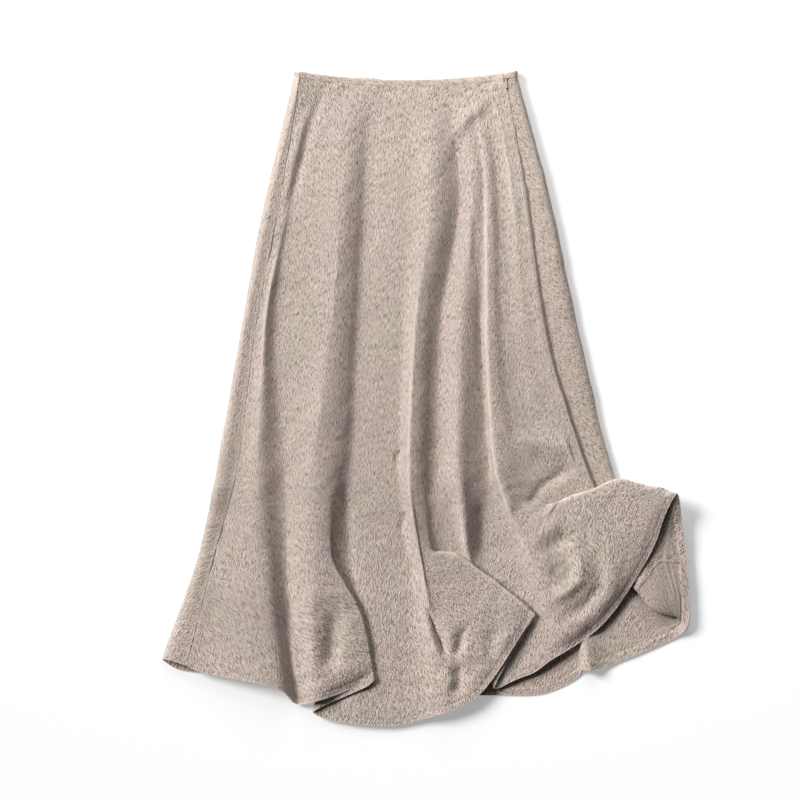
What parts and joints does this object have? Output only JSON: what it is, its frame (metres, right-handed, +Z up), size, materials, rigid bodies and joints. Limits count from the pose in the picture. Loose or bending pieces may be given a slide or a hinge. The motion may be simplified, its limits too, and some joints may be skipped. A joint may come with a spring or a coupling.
{
  "type": "a-line midi skirt",
  "caption": "A-line midi skirt of bias-cut linen, laid flat with soft folds, bound waist, flared hem with turned-up corners and a side zip with a swinging pull tab.",
  "frame": {"origin": "Centre of the underside of the skirt's bounding box, on the surface the skirt lies on.", "axes": "+Z up from that surface, +Y from the hem to the waist along the centre front, +X to the wearer's left, where the zip is."},
  "size_m": [0.724, 0.9, 0.0347],
  "materials": {
    "oatmeal_linen": "slubby, crinkled, matt",
    "oatmeal_linen_back": "slubby, crinkled, matt",
    "linen_binding": "matt, topstitched",
    "zip_tape_cloth": "fine twill tape, matt",
    "zip_slider_metal": "satin",
    "zip_tab_enamel": "satin enamel"
  },
  "bodies": {
    "skirt": {"front_panel": "oatmeal_linen", "back_panel": "oatmeal_linen_back", "front_waist_binding": "linen_binding", "back_waist_binding": "linen_binding", "zip_tape": "zip_tape_cloth", "zip_slider": "zip_slider_metal"},
    "zip_pull": {"zip_pull_tab": "zip_tab_enamel"}
  },
  "joints": [
    {"name": "pull_tab_hinge", "type": "hinge", "parent": "skirt", "child": "zip_pull", "pos_m": [0.11025, 0.44, 0.0172], "axis": [-0.9976, -0.0698, 0], "range_deg": [0, 150]}
  ]
}
